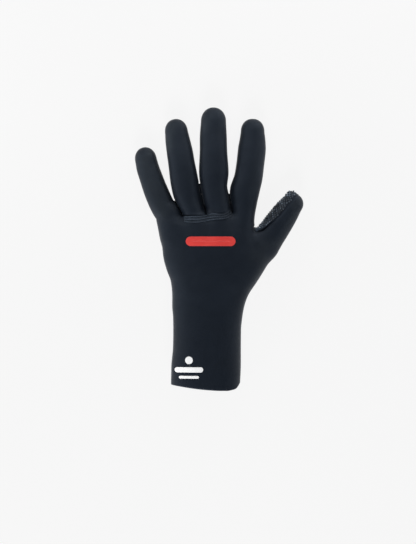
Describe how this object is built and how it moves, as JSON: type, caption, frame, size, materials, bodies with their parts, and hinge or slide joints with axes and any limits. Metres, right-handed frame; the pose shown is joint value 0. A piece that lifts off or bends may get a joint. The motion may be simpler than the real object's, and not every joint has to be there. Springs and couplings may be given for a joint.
{
  "type": "wetsuit glove",
  "caption": "Left-hand five-finger neoprene wetsuit glove with a long pull-on cuff, hollow, lying on its palm, with plain printed shapes on the back and cuff.",
  "frame": {"origin": "the middle of the glove's outline seen from above, on the surface that it lies on", "axes": "+Y towards the fingertips, +X towards the thumb, +Z out of the back of the hand, up from the surface"},
  "size_m": [0.1601, 0.2692, 0.0434],
  "materials": {
    "nylon_neoprene": "fine nylon jersey laminated on neoprene foam, matt with a soft sheen",
    "grip_neoprene": "nylon jersey with a fine raised rubber grip print, matt",
    "seam_thread": "flat overlocked polyester thread, slight sheen",
    "red_film": "flat heat-pressed film, satin",
    "white_film": "flat heat-pressed film, satin"
  },
  "bodies": {
    "root": {"back_panel": "nylon_neoprene", "palm_panel": "grip_neoprene", "ring_finger_back": "nylon_neoprene", "middle_finger_back": "nylon_neoprene", "thumb_front": "grip_neoprene", "knuckle_seam_band": "seam_thread", "back_mark": "red_film", "cuff_mark_disc": "white_film", "cuff_mark_bar": "white_film", "cuff_mark_line": "white_film"}
  },
  "joints": []
}
